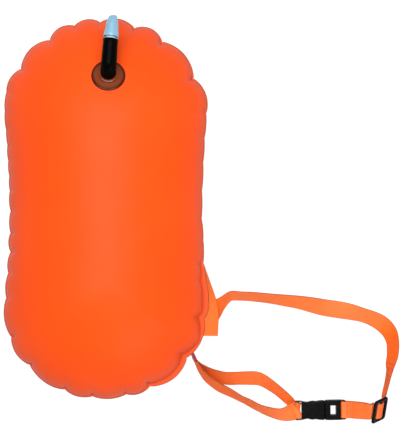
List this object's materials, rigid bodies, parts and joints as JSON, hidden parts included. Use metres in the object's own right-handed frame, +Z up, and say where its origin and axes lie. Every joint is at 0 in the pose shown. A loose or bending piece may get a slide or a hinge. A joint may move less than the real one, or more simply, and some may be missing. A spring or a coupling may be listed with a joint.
{
  "type": "open water swim buoy",
  "caption": "Inflated orange pillow-shaped swim float with an oral inflation valve and a webbing waist belt closed by a side-release buckle and a strap slider.",
  "frame": {"origin": "centre of the flat contact patch under the float's back panel, on the floor", "axes": "+Z up from the back panel to the front panel with the valve, +Y along the float towards the valve end, +X towards the belt"},
  "size_m": [0.5622, 0.5778, 0.1928],
  "materials": {
    "float_pvc": "satin inflated PVC sheet",
    "anchor_pvc": "satin PVC tab",
    "flange_pvc": "glossy translucent brown",
    "black_rubber": "glossy",
    "grey_plastic": "satin",
    "blue_plastic": "satin",
    "seal_rubber": "matte",
    "spring_steel": "bright",
    "webbing": "woven",
    "buckle_plastic": "satin moulded"
  },
  "bodies": {
    "float": {"front_panel": "float_pvc", "back_panel": "float_pvc", "valve_flange": "flange_pvc", "valve_neck": "flange_pvc", "inflation_tube": "black_rubber", "valve_body": "grey_plastic", "valve_spring": "spring_steel", "anchor_strip": "webbing", "belt_strap": "webbing", "lower_tab": "anchor_pvc", "short_strap": "webbing", "buckle_socket": "buckle_plastic"},
    "mouthpiece_unit": {"mouthpiece": "blue_plastic", "valve_stem": "grey_plastic", "valve_seal": "seal_rubber"},
    "plug_unit": {"buckle_plug": "buckle_plastic", "plug_webbing": "webbing"},
    "left_prong": {"left_prong": "buckle_plastic"},
    "right_prong": {"right_prong": "buckle_plastic"},
    "slider_unit": {"slider": "buckle_plastic", "slider_webbing": "webbing"}
  },
  "joints": [
    {"name": "mouthpiece_press", "type": "slide", "parent": "float", "child": "mouthpiece_unit", "axis": [-0.104, -0.9891, 0.1045], "range_m": [0, 0.002], "stiffness_N_per_m": 300, "deforming": ["valve_spring"]},
    {"name": "plug_release", "type": "slide", "parent": "float", "child": "plug_unit", "axis": [0.9998, 0.0175, 0], "range_m": [0, 0.038], "deforming": ["belt_strap", "left_prong", "right_prong"]},
    {"name": "left_prong_squeeze", "type": "hinge", "parent": "plug_unit", "child": "left_prong", "pos_m": [0.31423, -0.28534, 0.0068], "axis": [0, 0, 1], "range_deg": [0, 8], "stiffness_Nm_per_rad": 1.5},
    {"name": "right_prong_squeeze", "type": "hinge", "parent": "plug_unit", "child": "right_prong", "pos_m": [0.31456, -0.30434, 0.0068], "axis": [0, 0, -1], "range_deg": [0, 8], "stiffness_Nm_per_rad": 1.5},
    {"name": "slider_adjust", "type": "slide", "parent": "plug_unit", "child": "slider_unit", "axis": [0.9998, 0.0175, 0], "range_m": [-0.02, 0], "deforming": ["plug_webbing", "belt_strap"]}
  ],
  "couplings": [
    {"joint": "right_prong_squeeze", "follows": "left_prong_squeeze", "ratio": 1}
  ]
}
